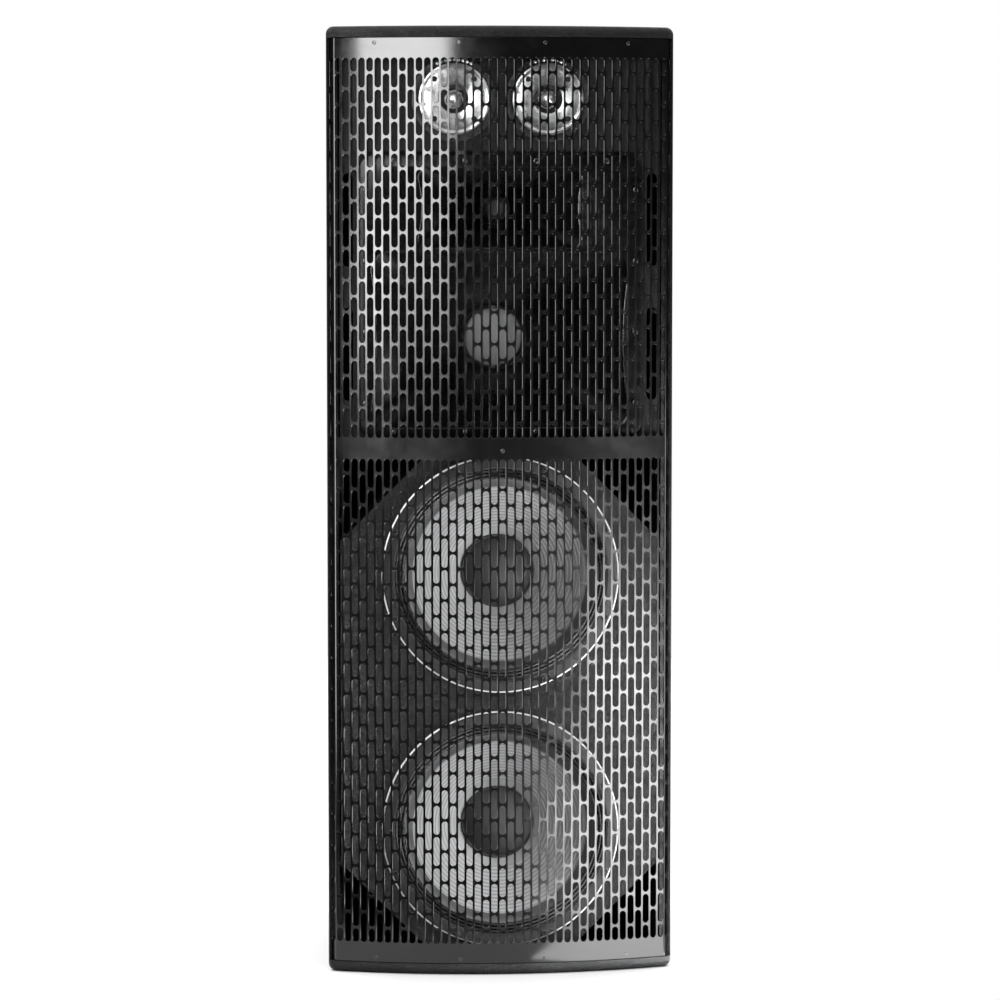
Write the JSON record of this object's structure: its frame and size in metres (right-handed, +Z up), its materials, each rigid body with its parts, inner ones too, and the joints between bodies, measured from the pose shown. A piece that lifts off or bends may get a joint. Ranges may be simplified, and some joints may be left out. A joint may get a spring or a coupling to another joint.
{
  "type": "full-range loudspeaker cabinet",
  "caption": "Tall tapered full-range loudspeaker cabinet with a bowed slotted grille, woofers, moulded midrange and treble horns, bullet tweeters, side handles and a rear input plate",
  "frame": {"origin": "centre of the resting face, at the middle of the bounding box's base", "axes": "+X to the right seen from the front, +Y from front to rear so the grille faces -Y, +Z up"},
  "size_m": [0.56, 0.6, 1.53],
  "materials": {
    "cabinet_paint": "matte",
    "baffle_paint": "matte",
    "bare_plywood": "matte",
    "grille_steel": "satin",
    "horn_plastic": "satin",
    "cast_frame": "satin",
    "gasket_foam": "matte",
    "surround_cloth": "matte",
    "spider_cloth": "matte",
    "cone_paper": "matte",
    "dust_cap_cloth": "matte",
    "coil_copper": "satin",
    "magnet_ferrite": "matte",
    "plug_felt": "matte",
    "tweeter_silver": "polished",
    "tweeter_black": "satin",
    "diaphragm_metal": "satin",
    "handle_steel": "satin",
    "input_steel": "satin",
    "socket_plastic": "satin",
    "circuit_board": "satin"
  },
  "bodies": {
    "cabinet": {"top_panel": "cabinet_paint", "bottom_panel": "cabinet_paint", "left_side_panel": "cabinet_paint", "right_side_panel": "cabinet_paint", "rear_panel": "cabinet_paint", "section_divider": "baffle_paint", "grille_rail_top": "baffle_paint", "grille_rail_bottom": "baffle_paint", "lf_baffle": "baffle_paint", "horn_baffle": "baffle_paint", "tweeter_baffle": "baffle_paint", "port_board_upper_left": "bare_plywood", "port_board_upper_right": "bare_plywood", "port_board_lower_left": "bare_plywood", "port_board_lower_right": "bare_plywood", "grille": "grille_steel", "horn_moulding": "horn_plastic", "lf_upper_frame": "cast_frame", "lf_lower_frame": "cast_frame", "mf_driver_frame": "cast_frame", "hf_driver_cap": "cast_frame", "lf_upper_gasket": "gasket_foam", "lf_lower_gasket": "gasket_foam", "lf_upper_surround": "surround_cloth", "lf_lower_surround": "surround_cloth", "mf_surround": "surround_cloth", "lf_upper_spider": "spider_cloth", "lf_lower_spider": "spider_cloth", "lf_upper_magnet": "magnet_ferrite", "lf_lower_magnet": "magnet_ferrite", "mf_driver_magnet": "magnet_ferrite", "hf_driver_body": "magnet_ferrite", "tweeter_left_motor": "magnet_ferrite", "tweeter_right_motor": "magnet_ferrite", "mf_phase_plug": "plug_felt", "tweeter_left_horn": "tweeter_silver", "tweeter_right_horn": "tweeter_silver", "tweeter_left_bullet": "tweeter_silver", "tweeter_right_bullet": "tweeter_silver", "hf_phase_plug": "tweeter_silver", "tweeter_left_flange": "tweeter_black", "tweeter_right_flange": "tweeter_black", "handle_upper_left": "handle_steel", "handle_upper_right": "handle_steel", "handle_lower_left": "handle_steel", "handle_lower_right": "handle_steel", "input_panel": "input_steel", "input_socket_left": "socket_plastic", "input_socket_right": "socket_plastic", "crossover_board": "circuit_board"},
    "lf_upper_moving": {"lf_upper_cone": "cone_paper", "lf_upper_dust_cap": "dust_cap_cloth", "lf_upper_voice_coil": "coil_copper"},
    "lf_lower_moving": {"lf_lower_cone": "cone_paper", "lf_lower_dust_cap": "dust_cap_cloth", "lf_lower_voice_coil": "coil_copper"},
    "mf_moving": {"mf_cone": "cone_paper"},
    "hf_moving": {"hf_diaphragm": "diaphragm_metal"},
    "tweeter_left_moving": {"tweeter_left_diaphragm": "diaphragm_metal"},
    "tweeter_right_moving": {"tweeter_right_diaphragm": "diaphragm_metal"}
  },
  "joints": [
    {"name": "lf_upper_cone_travel", "type": "slide", "parent": "cabinet", "child": "lf_upper_moving", "axis": [0, -1, 0], "range_m": [-0.008, 0.008], "stiffness_N_per_m": 14348, "deforming": ["lf_upper_surround", "lf_upper_spider"]},
    {"name": "lf_lower_cone_travel", "type": "slide", "parent": "cabinet", "child": "lf_lower_moving", "axis": [0, -1, 0], "range_m": [-0.008, 0.008], "stiffness_N_per_m": 14348, "deforming": ["lf_lower_surround", "lf_lower_spider"]},
    {"name": "mf_cone_travel", "type": "slide", "parent": "cabinet", "child": "mf_moving", "axis": [0, -1, 0], "range_m": [-0.003, 0.003], "stiffness_N_per_m": 1985.4, "deforming": ["mf_surround"]},
    {"name": "hf_diaphragm_travel", "type": "slide", "parent": "cabinet", "child": "hf_moving", "axis": [0, -1, 0], "range_m": [-0.0004, 0.0004], "stiffness_N_per_m": 1051.9},
    {"name": "tweeter_left_diaphragm_travel", "type": "slide", "parent": "cabinet", "child": "tweeter_left_moving", "axis": [0, -1, 0], "range_m": [-0.0002, 0.0002], "stiffness_N_per_m": 68.562},
    {"name": "tweeter_right_diaphragm_travel", "type": "slide", "parent": "cabinet", "child": "tweeter_right_moving", "axis": [0, -1, 0], "range_m": [-0.0002, 0.0002], "stiffness_N_per_m": 68.562}
  ]
}
